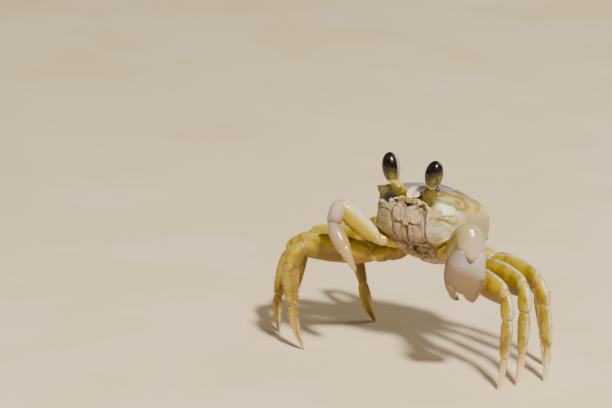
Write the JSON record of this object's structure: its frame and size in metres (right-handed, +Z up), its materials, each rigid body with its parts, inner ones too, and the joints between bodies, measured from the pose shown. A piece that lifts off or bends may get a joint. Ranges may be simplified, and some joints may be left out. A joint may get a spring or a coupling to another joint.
{
  "type": "atlantic ghost crab model",
  "caption": "Life-size model of an Atlantic ghost crab standing high on its walking legs, with its stalked eyes up and its unequal claws hanging in front.",
  "frame": {"origin": "on the floor under the middle of the crab's outline as seen from above", "axes": "+X to the crab's own left, -Y the way it faces, +Z up"},
  "size_m": [0.1246, 0.0546, 0.0853],
  "materials": {
    "carapace_shell": "satin, lavender grey above with yellow rims",
    "pale_underside_shell": "satin, cream white",
    "leg_shell": "satin, straw yellow",
    "claw_arm_shell": "satin, pale straw yellow",
    "claw_hand_shell": "glossy, ivory white",
    "eyestalk_shell": "satin, olive yellow",
    "cornea": "glossy, near black"
  },
  "bodies": {
    "root": {"abdomen": "pale_underside_shell", "carapace": "carapace_shell", "claw_left_base": "claw_arm_shell", "claw_left_carpus": "claw_hand_shell", "claw_left_finger": "claw_hand_shell", "claw_left_merus": "claw_arm_shell", "claw_left_palm": "claw_hand_shell", "claw_right_base": "claw_arm_shell", "claw_right_carpus": "claw_hand_shell", "claw_right_finger": "claw_hand_shell", "claw_right_merus": "claw_arm_shell", "claw_right_palm": "claw_hand_shell", "epistome": "pale_underside_shell", "eye_left": "cornea", "eye_right": "cornea", "eyestalk_left": "eyestalk_shell", "eyestalk_right": "eyestalk_shell", "leg_left_1_base": "leg_shell", "leg_left_1_carpus": "leg_shell", "leg_left_1_dactyl": "leg_shell", "leg_left_1_merus": "leg_shell", "leg_left_1_propodus": "leg_shell", "leg_left_2_base": "leg_shell", "leg_left_2_carpus": "leg_shell", "leg_left_2_dactyl": "leg_shell", "leg_left_2_merus": "leg_shell", "leg_left_2_propodus": "leg_shell", "leg_left_3_base": "leg_shell", "leg_left_3_carpus": "leg_shell", "leg_left_3_dactyl": "leg_shell", "leg_left_3_merus": "leg_shell", "leg_left_3_propodus": "leg_shell", "leg_left_4_base": "leg_shell", "leg_left_4_carpus": "leg_shell", "leg_left_4_dactyl": "leg_shell", "leg_left_4_merus": "leg_shell", "leg_left_4_propodus": "leg_shell", "leg_right_1_base": "leg_shell", "leg_right_1_carpus": "leg_shell", "leg_right_1_dactyl": "leg_shell", "leg_right_1_merus": "leg_shell", "leg_right_1_propodus": "leg_shell", "leg_right_2_base": "leg_shell", "leg_right_2_carpus": "leg_shell", "leg_right_2_dactyl": "leg_shell", "leg_right_2_merus": "leg_shell", "leg_right_2_propodus": "leg_shell", "leg_right_3_base": "leg_shell", "leg_right_3_carpus": "leg_shell", "leg_right_3_dactyl": "leg_shell", "leg_right_3_merus": "leg_shell", "leg_right_3_propodus": "leg_shell", "leg_right_4_base": "leg_shell", "leg_right_4_carpus": "leg_shell", "leg_right_4_dactyl": "leg_shell", "leg_right_4_merus": "leg_shell", "leg_right_4_propodus": "leg_shell", "maxilliped_left": "pale_underside_shell", "maxilliped_right": "pale_underside_shell", "thorax": "pale_underside_shell"}
  },
  "joints": []
}
